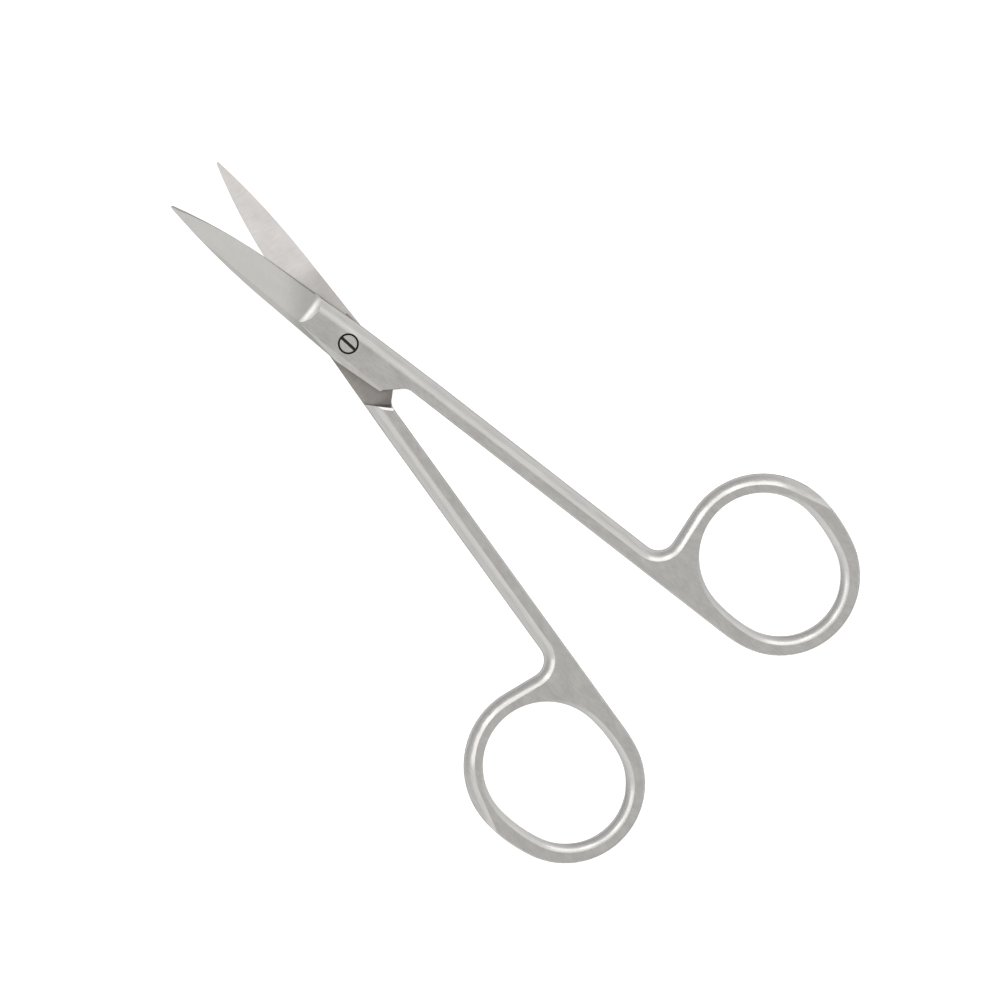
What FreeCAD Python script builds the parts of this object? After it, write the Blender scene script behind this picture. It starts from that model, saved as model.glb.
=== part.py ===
import FreeCAD, Part
import math
import os
import re
import Sketcher

# Iris scissors: two forged halves that lap at a screw joint.
#
# Each half is drawn in its own frame with the scissors closed: the pivot is at the
# origin, +Y runs to the blade tip, the finger ring lies towards +X, and z = 0 is the
# parting plane, where the two halves ride on each other. The blade and the joint lie
# above that plane, and the shank and the ring are centred on it. The lower half is
# the same forging turned over about its length.
#
# In the finished part the origin is on the pivot axis, on the face the joint rests
# on, +Y halves the angle between the blades and +Z runs up through the screw.

Vector = FreeCAD.Vector
Rotation = FreeCAD.Rotation
Placement = FreeCAD.Placement

TOLERANCE = 0.001

doc = FreeCAD.newDocument("IrisScissors")
sheet = doc.addObject("Spreadsheet::Sheet", "Dimensions")

SIZES = [
    # Blade outline
    ("blade_reach", 32.7, "pivot to blade tip"),
    ("tip_width", 0.5, "width of the rounded tip"),
    ("edge_bend_x", 2.5, "cutting edge: offset where the curve to the tip starts"),
    ("edge_bend_y", 17.5, "cutting edge: distance ahead of the pivot of that place"),
    ("edge_radius", 85.0, "cutting edge: radius of the curve to the tip"),
    ("back_bend_x", 2.55, "blade back: offset where the curve to the tip starts"),
    ("back_bend_y", 12.0, "blade back: distance ahead of the pivot of that place"),
    ("back_radius", 124.0, "blade back: radius of the curve to the tip"),
    # Joint outline
    ("joint_outer_x", 3.25, "pivot to the outer side of the joint"),
    ("joint_back_x", 3.1, "pivot to the back side of the joint"),
    ("heel_corner_x", 2.65, "heel corner: offset from the pivot line"),
    ("heel_corner_y", 7.8, "heel corner: distance behind the pivot"),
    ("heel_angle", 46.0, "slant of the heel, degrees"),
    ("heel_corner_radius", 0.4, "rounding of the heel corner"),
    ("heel_hollow_radius", 1.8, "hollow where the heel meets the shank"),
    ("heel_clearance", 0.28, "closed heel to the foot of the step of the other half"),
    ("step_angle", 37.0, "slant of the foot of the step, degrees"),
    ("step_inner_run", 0.8, "slope of the step wall, in plan, at the inner side"),
    ("step_outer_run", 0.2, "slope of the step wall, in plan, at the outer side"),
    ("lip_width", 0.33, "bevel behind the lip of the step, in plan"),
    ("lip_fall", 0.15, "fall of that bevel to the lip"),
    # Shank outline
    ("shank_gap", 0.4, "gap between the closed shanks"),
    ("shank_outer_x", 3.43, "pivot line to the outer side of the shank"),
    ("shank_start_y", 14.0, "distance behind the pivot where the shank runs straight"),
    ("neck_radius", 2.6, "hollow where the shank meets the ring"),
    ("web_angle", 5.0, "slant of the web between neck and ring, degrees"),
    # Finger ring: an egg of four arcs
    ("loop_near_radius", 9.34, "opening: radius of the end near the shank"),
    ("loop_far_radius", 8.81, "opening: radius of the far end"),
    ("loop_centres", 3.69, "opening: distance between the centres of its ends"),
    ("loop_flank_radius", 20.4, "opening: radius of its flanks"),
    ("loop_lean", 10.2, "opening: lean of its long axis, degrees"),
    ("loop_centre_y", 66.66, "pivot to the centre of the near end"),
    ("ring_rim", 2.82, "width of the ring in plan"),
    # Thicknesses
    ("joint_thickness", 2.0, "parting plane to the outer face of the joint"),
    ("ride_gap", 0.04, "running gap between the two halves"),
    ("ring_thickness", 3.0, "thickness of the ring"),
    ("taper_start_y", 3.0, "distance behind the pivot where the shank starts to thin"),
    ("taper_end_y", 52.0, "distance behind the pivot where it has thinned"),
    ("edge_softening", 0.28, "rounding of the long edges"),
    # Bevel along the outer side of shank and ring, and round the opening
    ("bevel_width", 1.65, "side bevel, from its crease to the side, in plan"),
    ("bevel_slope", 20.0, "slope of the side bevel at its crease, degrees"),
    ("bevel_swell_radius", 3.8, "swell of the side bevel"),
    ("bevel_joint_depth", 0.1, "how much deeper it is cut at the joint than on the ring"),
    ("bevel_reach_y", 9.0, "distance ahead of the pivot where it starts"),
    ("bevel_exit_turn", 21.0, "where it leaves the ring, ahead of the outer flank, degrees"),
    ("bevel_exit_length", 12.0, "straight run-out where it leaves the ring"),
    ("loop_bevel_width", 1.5, "bevel round the opening, in plan, at the far end"),
    ("loop_bevel_slope", 20.0, "slope of that bevel at its crease, degrees"),
    ("loop_swell_radius", 3.4, "swell of that bevel"),
    ("loop_bevel_lead", 0.7, "half of what that bevel loses in width at the near end"),
    ("shoulder_slope", 45.0, "slope where the swell of a bevel turns down to the side, degrees"),
    ("side_exit_angle", 8.0, "angle at which a bevel meets the side, degrees"),
    ("cutter_margin", 0.6, "how far a cutter stands outside the part"),
    # Grinding of the blade
    ("grind_start_y", 6.05, "distance ahead of the pivot where the ground face starts"),
    ("grind_offset_x", -0.2, "offset of the middle of the wheel's run-out"),
    ("grind_wheel_radius", 6.0, "run-out radius of the ground face, in plan"),
    ("grind_corner_radius", 1.72, "corner radius of the wheel"),
    ("blade_root_height", 1.3, "ground face above the parting plane, at the root"),
    ("blade_tip_height", 0.46, "ground face above the parting plane, at the tip"),
    ("grind_roll", 18.0, "fall of the ground face to the cutting edge, degrees"),
    ("back_crease_x", 1.92, "back bevel: offset of its crease at the root"),
    ("back_crease_y", 6.6, "back bevel: distance ahead of the pivot of that place"),
    ("back_crease_tip_x", 1.18, "back bevel: offset where its crease runs out"),
    ("back_crease_tip_y", 28.0, "back bevel: distance ahead of the pivot of that place"),
    ("back_bevel_slope", 36.0, "fall of the back bevel, degrees"),
    ("joint_crease_x", 2.1, "bevel along the back of the joint: offset of its crease"),
    ("joint_bevel_slope", 20.0, "fall of that bevel, degrees"),
    ("hollow_radius", 60.0, "radius of the hollow ground into the inner face"),
    ("hollow_depth", 0.05, "depth of that hollow"),
    ("hollow_start_y", 3.8, "distance ahead of the pivot where the ride face ends"),
    ("edge_land", 0.05, "thickness left at the sharpened edge"),
    ("hone_slope", 50.0, "slope of the sharpened edge, degrees"),
    ("hone_end_y", 9.2, "distance ahead of the pivot where the sharpening starts to run out"),
    ("hone_exit_radius", 5.0, "run-out radius of the sharpening"),
    ("hone_exit_turn", 25.0, "turn of that run-out, degrees"),
    # Screw
    ("head_diameter", 2.66, "screw head"),
    ("head_height", 0.9, "screw head"),
    ("head_clearance", 0.2, "gap round the head in its counterbore"),
    ("head_recess", 0.03, "head below the face of the joint"),
    ("seat_clearance", 0.02, "axial play under the head"),
    ("pin_diameter", 1.9, "smooth part of the screw, which the upper half turns on"),
    ("pin_clearance", 0.03, "radial running clearance of the pin"),
    ("thread_diameter", 1.5, "threaded end of the screw"),
    ("thread_clearance", 0.01, "radial clearance of the thread in the lower half"),
    ("thread_recess", 0.1, "end of the screw above the underside of the joint"),
    ("slot_width", 0.45, "screwdriver slot"),
    ("slot_depth", 0.45, "screwdriver slot"),
    ("slot_turn", 3.3, "turn of the slot from the length of the scissors, degrees"),
    ("head_edge_chamfer", 0.08, "chamfer round the screw head"),
    # Opening
    ("opening_angle", 16.26, "angle between the two halves as shown"),
]

for row, (alias, number, meaning) in enumerate(SIZES, start=1):
    sheet.set(f"A{row}", meaning)
    sheet.set(f"B{row}", str(number))
    sheet.setAlias(f"B{row}", alias)
doc.recompute()


def size(formula):
    """Value of a formula in the names of the sheet, as a plain number."""
    return float(sheet.evalExpression(formula))


def in_sheet(formula):
    """The same formula, as another object of the document has to write it."""
    return re.sub(r"[a-z_]+", r"Dimensions.\g<0>", formula)


def bind(thing, setting, formula):
    thing.setExpression(setting, in_sheet(formula))


def polar(centre, radius, degrees):
    """Point at a radius and a direction from a centre."""
    turn = math.radians(degrees)
    return centre + Vector(radius * math.cos(turn), radius * math.sin(turn), 0)


def direction_of(vector):
    return math.degrees(math.atan2(vector.y, vector.x))


def arc_centre(start, end, radius):
    """Centre of the clockwise arc of a radius from start to end, under a half turn."""
    middle = (start + end) * 0.5
    chord = end - start
    height = math.sqrt(radius ** 2 - (chord.Length / 2) ** 2)
    right = Vector(chord.y, -chord.x, 0).normalize()
    return middle + right * height


# Sketches

def plane_sketch(body, name, role, offset=None):
    """Sketch on an origin plane of its body, moved off it by a placement."""
    sketch = body.newObject("Sketcher::SketchObject", name)
    planes = [item for item in body.Origin.OriginFeatures if item.Role == role]
    sketch.AttachmentSupport = (planes[0], "")
    sketch.MapMode = "FlatFace"
    if offset is not None:
        sketch.AttachmentOffset = offset
    return sketch


def draw(sketch, pieces, closed=True):
    """Draw a chain of lines (start, end) and arcs (start, end, centre, sense).

    The sense is "left" or "right", the way that the chain turns along the arc. The
    ends are made coincident. Returns (edge, start vertex, end vertex) for each piece.
    """
    drawn = []
    for piece in pieces:
        start, end = piece[0], piece[1]
        if len(piece) == 2:
            edge = sketch.addGeometry(Part.LineSegment(start, end), False)
            drawn.append((edge, 1, 2))
            continue
        centre, sense = piece[2], piece[3]
        circle = Part.Circle(centre, Vector(0, 0, 1), (start - centre).Length)
        first, last = (start, end) if sense == "left" else (end, start)
        low = math.radians(direction_of(first - centre))
        high = math.radians(direction_of(last - centre))
        if high <= low:
            high += 2 * math.pi
        edge = sketch.addGeometry(Part.ArcOfCircle(circle, low, high), False)
        drawn.append((edge, 1, 2) if sense == "left" else (edge, 2, 1))
    count = len(drawn)
    for index in range(count if closed else count - 1):
        edge, start, end = drawn[index]
        following = drawn[(index + 1) % count]
        joint = Sketcher.Constraint("Coincident", edge, end, following[0], following[1])
        sketch.addConstraint(joint)
    return drawn


def hold(sketch, edge, vertex, x_formula=None, y_formula=None):
    """Tie a vertex to the sketch origin by formulas in the names of the sheet."""
    for kind, formula in (("DistanceX", x_formula), ("DistanceY", y_formula)):
        if formula is not None:
            number = size(formula)
            rule = Sketcher.Constraint(kind, -1, 1, edge, vertex, number)
            bind(sketch, f"Constraints[{sketch.addConstraint(rule)}]", formula)


def hold_radius(sketch, edge, formula):
    rule = Sketcher.Constraint("Radius", edge, size(formula))
    bind(sketch, f"Constraints[{sketch.addConstraint(rule)}]", formula)


def polygon(sketch, corners):
    """Closed polygon whose corners are pairs of formulas."""
    points = [Vector(size(x), size(y), 0) for x, y in corners]
    sides = draw(sketch, list(zip(points, points[1:] + points[:1])))
    for (edge, start, end), (x, y) in zip(sides, corners):
        hold(sketch, edge, start, x, y)


def circle(sketch, radius_formula):
    """Circle of a radius given as a formula, round the sketch origin."""
    round_edge = Part.Circle(Vector(0, 0, 0), Vector(0, 0, 1), size(radius_formula))
    edge = sketch.addGeometry(round_edge, False)
    sketch.addConstraint(Sketcher.Constraint("Coincident", edge, 3, -1, 1))
    hold_radius(sketch, edge, radius_formula)


# Features

def feature(body, kind, name, profile, **settings):
    """Sketch-based feature, with its plain settings."""
    made = body.newObject(f"PartDesign::{kind}", name)
    made.Profile = profile
    for setting, value in settings.items():
        setattr(made, setting, value)
    doc.recompute()
    return made


def through_cut(body, name, profile):
    """Pocket through everything, on both sides of its sketch."""
    return feature(body, "Pocket", name, profile, Type="ThroughAll", SideType="Symmetric")


def mirrored(body, name, original):
    """The same cut on the other side of the parting plane."""
    made = body.newObject("PartDesign::Mirrored", name)
    made.Originals = [original]
    planes = [item for item in body.Origin.OriginFeatures if item.Role == "XY_Plane"]
    made.MirrorPlane = (planes[0], [""])
    body.Tip = made
    doc.recompute()
    return made


def edges_where(shape, wanted):
    """Names of the edges of a shape that pass a test."""
    return [f"Edge{index}" for index, edge in enumerate(shape.Edges, start=1) if wanted(edge)]


# Geometry of the finger ring

class Egg:
    """Oval of four arcs: two ends and two flanks that are tangent to both."""

    def __init__(self):
        lean = math.radians(90 - size("loop_lean"))
        along = Vector(math.cos(lean), math.sin(lean), 0)
        across = Vector(-along.y, along.x, 0)
        spread = size("loop_centres")
        to_far = size("loop_flank_radius - loop_far_radius")
        to_near = size("loop_flank_radius - loop_near_radius")
        along_axis = (to_far ** 2 - to_near ** 2 + spread ** 2) / (2 * spread)
        off_axis = math.sqrt(to_far ** 2 - along_axis ** 2)
        # The inner flank of the ring is tangent to the inner side of the shank.
        outer_flank = size("loop_flank_radius + ring_rim")
        inner_flank_x = size("shank_gap / 2") + outer_flank
        far_from_flank = across * off_axis - along * along_axis
        near_y = -size("loop_centre_y")
        far_y = near_y - along.y * spread
        self.inner_flank = Vector(inner_flank_x, far_y - far_from_flank.y, 0)
        self.far = self.inner_flank + far_from_flank
        self.near = self.far + along * spread
        self.to_far_end = along * -1
        self.outer_flank = self.far + along * along_axis + across * off_axis

    def ends(self, margin):
        """Four junctions of the arcs at a margin outside the opening.

        In the order near to outer flank, outer flank to far end, far end to inner
        flank, inner flank to near end.
        """
        flank = size("loop_flank_radius") + margin
        return [
            polar(self.outer_flank, flank, direction_of(self.near - self.outer_flank)),
            polar(self.outer_flank, flank, direction_of(self.far - self.outer_flank)),
            polar(self.inner_flank, flank, direction_of(self.far - self.inner_flank)),
            polar(self.inner_flank, flank, direction_of(self.near - self.inner_flank)),
        ]


def outer_side():
    """Chain down the outer side: joint, shank, neck, web and ring, to its far end.

    Every piece is (start, end) or (start, end, centre, sense).
    """
    egg = Egg()
    rim = size("ring_rim")
    web = math.radians(size("web_angle"))
    web_run = Vector(math.cos(web), math.sin(web), 0)
    web_end = polar(egg.near, size("loop_near_radius") + rim, 90 + size("web_angle"))
    outer_x = size("shank_outer_x")
    corner = web_end - web_run * ((web_end.x - outer_x) / web_run.x)
    neck = size("neck_radius")
    neck_leg = neck * math.tan((math.pi / 2 + web) / 2)
    neck_start = corner + Vector(0, neck_leg, 0)
    neck_end = corner + web_run * neck_leg
    bend = Vector(size("edge_bend_x"), size("edge_bend_y"), 0)
    joint = Vector(size("joint_outer_x"), 0, 0)
    shank = Vector(outer_x, -size("shank_start_y"), 0)
    to_flank, to_far, to_inner = egg.ends(rim)[:3]
    return [
        (bend, joint),
        (joint, shank),
        (shank, neck_start),
        (neck_start, neck_end, neck_start + Vector(neck, 0, 0), "left"),
        (neck_end, web_end),
        (web_end, to_flank, egg.near, "right"),
        (to_flank, to_far, egg.outer_flank, "right"),
        (to_far, to_inner, egg.far, "right"),
    ]


def hold_outer_side(sketch, drawn, first):
    """Tie the sizes of the outer side; first is the index of its joint-to-shank line."""
    names = ("taper", "shank", "neck", "web", "near", "flank")
    part = {name: drawn[first + index] for index, name in enumerate(names)}
    hold(sketch, part["taper"][0], part["taper"][2], "shank_outer_x", "-shank_start_y")
    hold_radius(sketch, part["neck"][0], "neck_radius")
    hold_radius(sketch, part["near"][0], "loop_near_radius + ring_rim")
    hold_radius(sketch, part["flank"][0], "loop_flank_radius + ring_rim")


# One half

def outline(body):
    """Plan outline of a half, clockwise from the tip."""
    sketch = plane_sketch(body, "Outline", "XY_Plane")
    egg = Egg()
    half_tip = size("tip_width / 2")
    shoulder_y = size("blade_reach - tip_width / 2")
    tip_right = Vector(half_tip, shoulder_y, 0)
    tip_left = Vector(-half_tip, shoulder_y, 0)
    side = outer_side()
    bend = side[0][0]
    edge_arc = (tip_right, bend, arc_centre(tip_right, bend, size("edge_radius")), "right")

    inner_x = size("shank_gap / 2")
    inner_foot = Vector(inner_x, egg.inner_flank.y, 0)
    flank_arc = (side[-1][1], inner_foot, egg.inner_flank, "right")
    slant = math.radians(size("heel_angle"))
    heel_run = Vector(-math.cos(slant), math.sin(slant), 0)
    heel_corner = Vector(-size("heel_corner_x"), -size("heel_corner_y"), 0)
    heel_foot = heel_corner - heel_run * ((heel_corner.x - inner_x) / heel_run.x)
    hollow = size("heel_hollow_radius")
    hollow_leg = hollow * math.tan((math.pi / 2 - slant) / 2)
    hollow_start = heel_foot - Vector(0, hollow_leg, 0)
    hollow_end = heel_foot + heel_run * hollow_leg
    hollow_centre = hollow_start - Vector(hollow, 0, 0)

    joint_back = Vector(-size("joint_back_x"), 0, 0)
    back_run = (joint_back - heel_corner).normalize()
    corner = size("heel_corner_radius")
    corner_leg = corner * math.tan(heel_run.getAngle(back_run) / 2)
    corner_start = heel_corner - heel_run * corner_leg
    corner_end = heel_corner + back_run * corner_leg
    corner_centre = corner_start + Vector(heel_run.y, -heel_run.x, 0) * corner
    back_bend = Vector(-size("back_bend_x"), size("back_bend_y"), 0)
    back_arc = (back_bend, tip_left, arc_centre(back_bend, tip_left, size("back_radius")), "right")
    tip_arc = (tip_left, tip_right, Vector(0, shoulder_y, 0), "right")

    pieces = [edge_arc] + side + [
        flank_arc,
        (inner_foot, hollow_start),
        (hollow_start, hollow_end, hollow_centre, "left"),
        (hollow_end, corner_start),
        (corner_start, corner_end, corner_centre, "right"),
        (corner_end, joint_back),
        (joint_back, back_bend),
        back_arc,
        tip_arc,
    ]
    drawn = draw(sketch, pieces)
    hold(sketch, drawn[0][0], drawn[0][1], "tip_width / 2", "blade_reach - tip_width / 2")
    hold(sketch, drawn[0][0], drawn[0][2], "edge_bend_x", "edge_bend_y")
    hold_radius(sketch, drawn[0][0], "edge_radius")
    hold(sketch, drawn[1][0], drawn[1][2], "joint_outer_x", "0")
    hold_outer_side(sketch, drawn, 2)
    hold_radius(sketch, drawn[8][0], "loop_far_radius + ring_rim")
    inner_line = drawn[10]
    hold(sketch, inner_line[0], inner_line[1], "shank_gap / 2")
    hold_radius(sketch, drawn[9][0], "loop_flank_radius + ring_rim")
    hold_radius(sketch, drawn[11][0], "heel_hollow_radius")
    hold_radius(sketch, drawn[13][0], "heel_corner_radius")
    hold(sketch, drawn[14][0], drawn[14][2], "-joint_back_x", "0")
    hold(sketch, drawn[15][0], drawn[15][2], "-back_bend_x", "back_bend_y")
    hold_radius(sketch, drawn[16][0], "back_radius")
    hold(sketch, drawn[16][0], drawn[16][2], "-tip_width / 2", "blade_reach - tip_width / 2")
    return sketch


def loop_path(body, name, inset_formula="0"):
    """The opening of the ring, or a smaller oval that touches it at its far end.

    The smaller oval is an inset of the opening, moved by the inset to the far end.
    """
    egg = Egg()
    inset = size(inset_formula)
    lead = egg.to_far_end * inset
    sketch = plane_sketch(body, name, "XY_Plane", Placement(lead, Rotation()))
    to_flank, to_far, to_inner, to_near = egg.ends(-inset)
    drawn = draw(sketch, [
        (to_near, to_flank, egg.near, "right"),
        (to_flank, to_far, egg.outer_flank, "right"),
        (to_far, to_inner, egg.far, "right"),
        (to_inner, to_near, egg.inner_flank, "right"),
    ])
    arcs = ("loop_near_radius", "loop_flank_radius", "loop_far_radius", "loop_flank_radius")
    for (edge, start, end), radius in zip(drawn, arcs):
        hold_radius(sketch, edge, f"{radius} - {inset_formula}")
    return sketch


def bevel_section(body, name, start, inward, width, slope, swell):
    """Section of a bevel cutter, square to the side that it follows.

    x runs inwards from the side and y runs up. From its crease in the face the bevel
    swells outwards on a large radius, and then turns down on a smaller one, which
    meets the side at a small angle.
    """
    frame = Rotation(inward, Vector(0, 0, 1), inward.cross(Vector(0, 0, 1)), "ZXY")
    sketch = plane_sketch(body, name, "XY_Plane", Placement(start, frame))
    fall, shoulder = size(slope), size("shoulder_slope")
    side_slope = 90 - size("side_exit_angle")
    margin = size("cutter_margin")

    def across(low, high):
        return math.sin(math.radians(high)) - math.sin(math.radians(low))

    swell_radius = size(swell)
    turn_radius = (size(width) - swell_radius * across(fall, shoulder)) / across(shoulder, side_slope)
    crease = Vector(size(width), size("ring_thickness / 2"), 0)
    swell_centre = polar(crease, -swell_radius, 90 + fall)
    swell_end = polar(swell_centre, swell_radius, 90 + shoulder)
    turn_centre = polar(swell_end, -turn_radius, 90 + shoulder)
    turn_end = polar(turn_centre, turn_radius, 180)
    uphill = Vector(math.cos(math.radians(fall)), math.sin(math.radians(fall)), 0)
    above = crease + uphill * margin
    top = above.y + margin
    drawn = draw(sketch, [
        (above, crease),
        (crease, swell_end, swell_centre, "left"),
        (swell_end, turn_end, turn_centre, "left"),
        (turn_end, Vector(-margin, turn_end.y, 0)),
        (Vector(-margin, turn_end.y, 0), Vector(-margin, top, 0)),
        (Vector(-margin, top, 0), Vector(above.x, top, 0)),
        (Vector(above.x, top, 0), above),
    ])
    hold(sketch, drawn[0][0], drawn[0][2], width, "ring_thickness / 2")
    hold_radius(sketch, drawn[1][0], swell)
    return sketch


def swept_cut(body, name, path, section):
    """Cut a section along a path, upright all the way."""
    sweep = body.newObject("PartDesign::SubtractivePipe", name)
    sweep.Profile = section
    sweep.Spine = path
    sweep.Mode = "Binormal"
    sweep.Binormal = Vector(0, 0, 1)
    doc.recompute()
    return sweep


def face_height(y):
    """Height of the outer face of joint, shank and ring above the parting plane."""
    start_y = -size("taper_start_y")
    end_y = -size("taper_end_y")
    share = min(max((start_y - y) / (start_y - end_y), 0), 1)
    return size("joint_thickness") + share * size("ring_thickness / 2 - joint_thickness")


def off_face(point):
    """Distance of a point above or below the outer face, on either side."""
    return abs(abs(point.z) - face_height(point.y))


def taper(body):
    """Cut both faces of the shank down to the thickness of the ring."""
    sketch = plane_sketch(body, "TaperOutline", "YZ_Plane")
    far_y = "-(loop_centre_y + loop_centres + loop_far_radius + 2 * ring_rim)"
    for side in ("", "-"):
        outside = side + "(joint_thickness + ride_gap)"
        polygon(sketch, [
            ("-taper_start_y", side + "joint_thickness"),
            ("-taper_end_y", side + "ring_thickness / 2"),
            (far_y, side + "ring_thickness / 2"),
            (far_y, outside),
            ("-taper_start_y", outside),
        ])
    return through_cut(body, "ShankTaper", sketch)


def recess(body):
    """Take away the half of the thickness that belongs to the other half.

    The cut ends behind the pivot in a sloping step. The foot of the step clears the
    heel of the other half when the scissors are closed.
    """
    slant = math.radians(size("heel_angle"))
    foot_slope = math.tan(math.radians(size("step_angle")))
    inner_x = size("shank_gap / 2")
    heel_y = -size("heel_corner_y") - (size("heel_corner_x") - inner_x) * math.tan(slant)
    foot_y = heel_y - size("heel_clearance") / math.cos(slant)
    outer_x = size("shank_outer_x")
    left = -size("joint_back_x + ring_rim")
    right = size("shank_outer_x + ring_rim")
    front = size("blade_reach + tip_width")
    inner_run = size("step_inner_run")
    outer_run = size("step_outer_run")
    levels = (("RecessFoot", size("ride_gap / 2")), ("RecessLip", -size("joint_thickness")))
    sketches = []
    for name, level in levels:
        share = (size("ride_gap / 2") - level) / size("joint_thickness + ride_gap / 2")
        sketch = plane_sketch(body, name, "XY_Plane", Placement(Vector(0, 0, level), Rotation()))
        inner_y = foot_y - inner_run * share
        outer_y = foot_y + (outer_x - inner_x) * foot_slope - outer_run * share
        slope = (outer_y - inner_y) / (outer_x - inner_x)
        corners = [
            Vector(left, inner_y + (left - inner_x) * slope, 0),
            Vector(right, inner_y + (right - inner_x) * slope, 0),
            Vector(right, front, 0),
            Vector(left, front, 0),
        ]
        draw(sketch, list(zip(corners, corners[1:] + corners[:1])))
        sketches.append(sketch)
    cut = body.newObject("PartDesign::SubtractiveLoft", "Recess")
    cut.Profile = sketches[0]
    cut.Sections = [sketches[1]]
    cut.Ruled = True
    doc.recompute()
    return cut


def lip_bevel(body):
    """Narrow bevel behind the lip, the edge between the wall of the step and the face."""

    def in_under_face(edge):
        points = [vertex.Point for vertex in edge.Vertexes]
        return all(point.z < 0 and off_face(point) < TOLERANCE for point in points)

    under_edges = filter(in_under_face, body.Tip.Shape.Edges)
    lip = max(under_edges, key=lambda edge: edge.CenterOfMass.y)
    inner, outer = sorted((vertex.Point for vertex in lip.Vertexes), key=lambda point: point.x)
    along = (outer - inner).normalize()
    behind = Vector(along.y, -along.x, 0).normalize()
    out_of_face = along.cross(behind)
    profile = plane_sketch(body, "LipProfile", "XY_Plane",
                           Placement(inner, Rotation(behind, out_of_face, along, "ZXY")))
    polygon(profile, [
        ("lip_width", "0"),
        ("-cutter_margin", "-lip_fall * (1 + cutter_margin / lip_width)"),
        ("-cutter_margin", "cutter_margin"),
        ("lip_width", "cutter_margin"),
    ])
    return through_cut(body, "LipBevel", profile)


def ground_flat(body, name, centre, along, up):
    """Grind a flat through the centre and along a direction, square to up."""
    across = along.cross(up)
    width = size("grind_wheel_radius * 2")
    length = size("blade_reach")
    sketch = plane_sketch(body, name + "Flat", "XY_Plane",
                          Placement(centre, Rotation(across, along, up, "ZXY")))
    corners = [
        Vector(-width, 0, 0),
        Vector(width, 0, 0),
        Vector(width, length, 0),
        Vector(-width, length, 0),
    ]
    draw(sketch, list(zip(corners, corners[1:] + corners[:1])))
    return feature(body, "Pocket", name, sketch, Type="Length", Reversed=True,
                   Length=size("joint_thickness * 2"))


def wheel_run_out(body, name, centre, along, up):
    """Hollow that the wheel leaves at the start of a flat, round the centre."""
    across = along.cross(up)
    frame = Placement(centre, Rotation(across, up, across.cross(up), "ZXY"))
    sketch = plane_sketch(body, name + "Profile", "XY_Plane", frame)
    radius = size("grind_wheel_radius")
    corner = size("grind_corner_radius")
    height = size("joint_thickness * 2")
    drawn = draw(sketch, [
        (Vector(0, 0, 0), Vector(radius - corner, 0, 0)),
        (Vector(radius - corner, 0, 0), Vector(radius, corner, 0),
         Vector(radius - corner, corner, 0), "left"),
        (Vector(radius, corner, 0), Vector(radius, height, 0)),
        (Vector(radius, height, 0), Vector(0, height, 0)),
        (Vector(0, height, 0), Vector(0, 0, 0)),
    ])
    hold(sketch, drawn[1][0], drawn[1][2], "grind_wheel_radius", "grind_corner_radius")
    hold_radius(sketch, drawn[1][0], "grind_corner_radius")
    return feature(body, "Groove", name, sketch, Angle=360, ReferenceAxis=(sketch, ["V_Axis"]))


def outward_flat(body, name, crease, along, slope_formula):
    """Grind a flat that falls outwards from a crease on the back side."""
    outward = Vector(-along.y, along.x, 0).normalize()
    slope = math.radians(size(slope_formula))
    downhill = outward * math.cos(slope) - Vector(0, 0, math.sin(slope))
    return ground_flat(body, name, crease, along, along.cross(downhill))


def blade_grinding(body):
    """Ground outer face of the blade, and the bevels along its back and the joint's."""
    root_y = size("back_crease_y")
    fall = (size("blade_root_height") - size("blade_tip_height")) / (size("blade_reach") - root_y)
    roll = math.tan(math.radians(size("grind_roll")))

    def on_face(x, y):
        return Vector(x, y, size("blade_root_height") - fall * (y - root_y) - roll * x)

    centre = on_face(size("grind_offset_x"), size("grind_start_y + grind_wheel_radius"))
    along = Vector(0, 1, -fall).normalize()
    up = Vector(roll, fall, 1).normalize()
    ground_flat(body, "OuterGrind", centre, along, up)
    wheel_run_out(body, "OuterGrindRunOut", centre, along, up)

    crease_root = on_face(-size("back_crease_x"), root_y)
    crease_tip = on_face(-size("back_crease_tip_x"), size("back_crease_tip_y"))
    crease = (crease_tip - crease_root).normalize()
    behind = crease_root - crease * size("back_crease_tip_y / 2")
    outward_flat(body, "BackBevel", behind, crease, "back_bevel_slope")
    blade_root = crease_root + crease * size("back_crease_tip_y / 2")
    outward_flat(body, "BackBevelToTip", blade_root, crease, "back_bevel_slope")
    joint_start = Vector(-size("joint_crease_x"), -size("heel_corner_y * 2"), size("joint_thickness"))
    return outward_flat(body, "JointBevel", joint_start, Vector(0, 1, 0), "joint_bevel_slope")


def soften_edges(body):
    """Round the long edges of the outer faces, down to the blade's ground faces."""
    before = body.Tip
    shape = before.Shape

    def rim_edge(edge):
        points = [vertex.Point for vertex in edge.Vertexes]
        on_face = max(off_face(point) for point in points + [edge.CenterOfMass]) < TOLERANCE
        crosses = abs(points[0].y - points[-1].y) < TOLERANCE
        faces = [face for face in shape.Faces if any(edge.isSame(other) for other in face.Edges)]
        upright = [face for face in faces if abs(face.normalAt(0, 0).z) < TOLERANCE]
        return on_face and not crosses and len(upright) == 1

    rounded = body.newObject("PartDesign::Fillet", "SoftEdges")
    rounded.Base = (before, edges_where(shape, rim_edge))
    bind(rounded, "Radius", "edge_softening")
    doc.recompute()
    return rounded


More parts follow.
